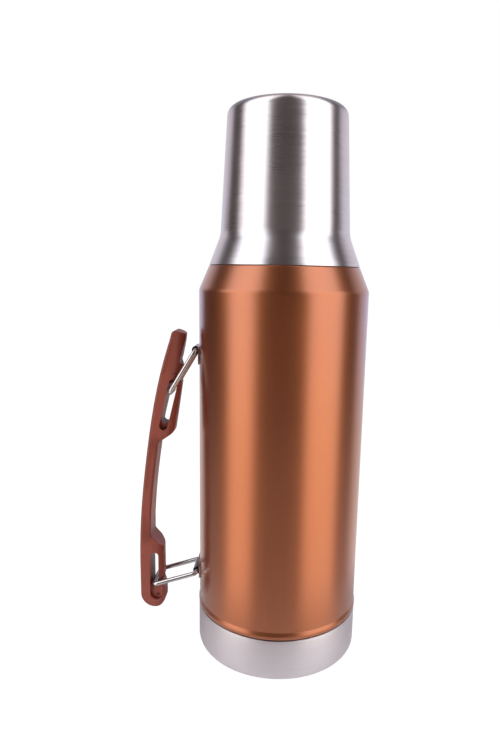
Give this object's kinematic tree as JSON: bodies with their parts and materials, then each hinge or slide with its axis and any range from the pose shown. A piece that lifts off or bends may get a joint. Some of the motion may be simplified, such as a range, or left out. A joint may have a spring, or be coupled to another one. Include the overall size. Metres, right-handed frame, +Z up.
{
  "type": "growler",
  "caption": "Tall vacuum growler with a painted metal body, steel base, screw stopper under a steel cup, and a curved carrying handle on wire bails.",
  "frame": {"origin": "centre of the foot, on the face it stands on", "axes": "+Z up along the bottle, handle towards -X, front of the picture towards -Y"},
  "size_m": [0.1457, 0.1062, 0.3399],
  "materials": {
    "copper_paint": "satin metallic",
    "brushed_steel": "brushed",
    "vessel_steel": "satin",
    "wire_steel": "polished",
    "grip_plastic": "satin",
    "black_plastic": "matte",
    "silicone": "matte",
    "foot_rubber": "matte",
    "foam": "matte",
    "getter_alloy": "matte",
    "plug_brass": "satin"
  },
  "bodies": {
    "bottle": {"outer_shell": "copper_paint", "inner_vessel": "vessel_steel", "vacuum_base_plate": "vessel_steel", "vacuum_seal_plug": "plug_brass", "getter_pill": "getter_alloy", "base_cup": "brushed_steel", "base_pad": "foot_rubber", "neck_collar": "black_plastic", "collar_gasket": "silicone", "upper_bracket": "copper_paint", "lower_bracket": "copper_paint"},
    "upper_bail": {"upper_bail": "wire_steel"},
    "grip": {"handle_grip": "grip_plastic"},
    "lower_bail": {"lower_bail": "wire_steel"},
    "cup_carrier": {"cup_seal": "silicone"},
    "cup": {"cup_shell": "brushed_steel", "cup_liner": "vessel_steel", "cup_thread_collar": "black_plastic"},
    "stopper_carrier": {"stopper_seal": "silicone"},
    "stopper": {"stopper_body": "black_plastic", "stopper_cap": "black_plastic", "stopper_insulation": "foam"}
  },
  "joints": [
    {"name": "handle_swing", "type": "hinge", "parent": "bottle", "child": "upper_bail", "pos_m": [-0.0543, 0, 0.1971], "axis": [0, -1, 0], "range_deg": [-60, 7]},
    {"name": "grip_pivot", "type": "hinge", "parent": "upper_bail", "child": "grip", "pos_m": [-0.07054, 0, 0.16976], "axis": [0, -1, 0], "range_deg": [-8.2, 69.2]},
    {"name": "lower_bail_swing", "type": "hinge", "parent": "bottle", "child": "lower_bail", "pos_m": [-0.0543, 0, 0.0469], "axis": [0, -1, 0], "range_deg": [-57.1, 6.8]},
    {"name": "cup_lift", "type": "slide", "parent": "bottle", "child": "cup_carrier", "axis": [0, 0, 1], "range_m": [0, 0.1]},
    {"name": "cup_turn", "type": "hinge", "parent": "cup_carrier", "child": "cup", "pos_m": [0, 0, 0], "axis": [0, 0, 1], "range_deg": [0, 720]},
    {"name": "stopper_lift", "type": "slide", "parent": "bottle", "child": "stopper_carrier", "axis": [0, 0, 1], "range_m": [0, 0.012]},
    {"name": "stopper_turn", "type": "hinge", "parent": "stopper_carrier", "child": "stopper", "pos_m": [0, 0, 0], "axis": [0, 0, 1], "range_deg": [0, 1081]}
  ],
  "couplings": [
    {"joint": "grip_pivot", "follows": "handle_swing", "ratio": -1.151},
    {"joint": "lower_bail_swing", "follows": "handle_swing", "ratio": 0.95},
    {"joint": "stopper_turn", "follows": "stopper_lift", "rad_per_m": 1570.8}
  ]
}
